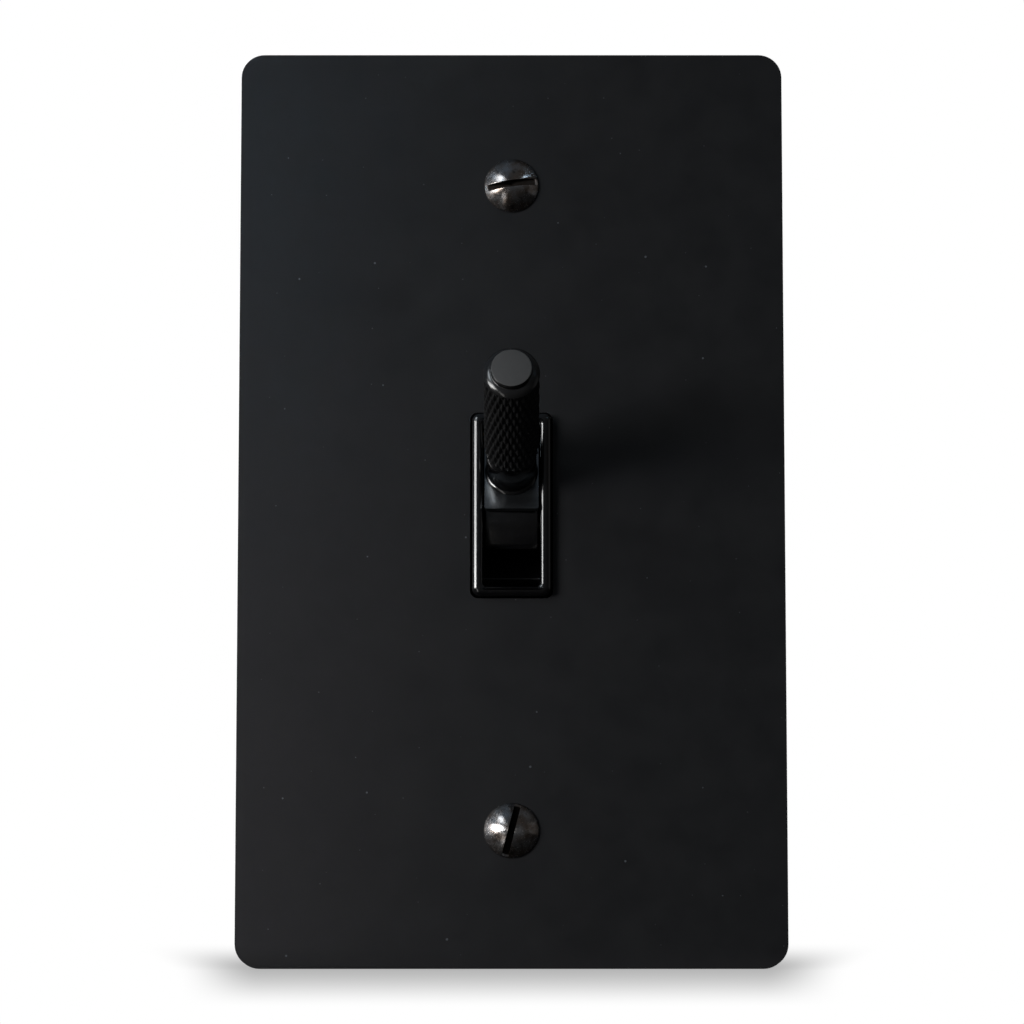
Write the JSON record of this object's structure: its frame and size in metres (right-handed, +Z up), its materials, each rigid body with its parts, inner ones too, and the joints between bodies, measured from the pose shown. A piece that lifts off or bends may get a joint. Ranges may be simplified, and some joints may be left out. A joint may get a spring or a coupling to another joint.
{
  "type": "wall switch",
  "caption": "Single-pole wall switch: a knurled metal toggle lever on a rocking barrel, in a matte black wall plate with slotted screws.",
  "frame": {"origin": "midway between the two box screws, on the plane of the wall plate's back face, where the plate meets the wall", "axes": "+X to the right seen from the room, +Y into the wall, +Z up along the plate"},
  "size_m": [0.07, 0.0613, 0.118],
  "materials": {
    "plate_black": "fine matte black coating with faint mottling",
    "antique_steel": "turned gunmetal, brushed and slightly warm",
    "zinc_steel": "bright zinc plate",
    "strap_steel": "galvanised sheet steel",
    "green_steel": "green passivated steel",
    "gloss_black": "glossy moulded black",
    "cover_black": "moulded thermoset, fine texture",
    "housing_grey": "moulded thermoset, fine texture",
    "saddle_satin": "satin blue-grey black",
    "lever_black": "satin black coating over brass",
    "tip_grey": "flat matte charcoal",
    "nylon_ivory": "natural nylon",
    "contact_brass": "rolled brass strip",
    "contact_silver": "silver alloy contact",
    "brass_screw": "turned brass",
    "fibre_brown": "vulcanised fibre"
  },
  "bodies": {
    "switch_frame": {"wall_plate": "plate_black", "upper_plate_screw": "antique_steel", "lower_plate_screw": "antique_steel", "plate_studs": "zinc_steel", "stud_washers": "zinc_steel", "stud_nuts": "zinc_steel", "mounting_strap": "strap_steel", "strap_rivets": "zinc_steel", "ground_screw": "green_steel", "toggle_bezel": "gloss_black", "front_cover": "cover_black", "rear_housing": "housing_grey", "housing_screws": "zinc_steel", "pivot_pin": "zinc_steel", "contact_pivot_pin": "zinc_steel", "line_terminal": "contact_brass", "load_terminal": "contact_brass", "fixed_contact": "contact_silver", "terminal_screws": "brass_screw", "wire_clamps": "contact_brass", "stop_pad": "fibre_brown"},
    "lever": {"rocker": "gloss_black", "lever_saddle": "saddle_satin", "lever_stem": "zinc_steel", "lever_foot": "gloss_black", "lever_collar": "gloss_black", "knurled_sleeve": "lever_black", "lever_tip": "tip_grey", "plunger_spring": "zinc_steel", "contact_plunger": "nylon_ivory"},
    "contact": {"contact_arm": "contact_brass", "moving_contact": "contact_silver"}
  },
  "joints": [
    {"name": "lever_tilt", "type": "hinge", "parent": "switch_frame", "child": "lever", "pos_m": [0, 0.0102, 0], "axis": [1, 0, 0], "range_deg": [0, 34]},
    {"name": "contact_arm_tilt", "type": "hinge", "parent": "switch_frame", "child": "contact", "pos_m": [0, 0.0232, 0], "axis": [1, 0, 0], "range_deg": [-14.1, 0]}
  ],
  "couplings": [
    {"joint": "contact_arm_tilt", "follows": "lever_tilt", "ratio": -0.4118}
  ]
}
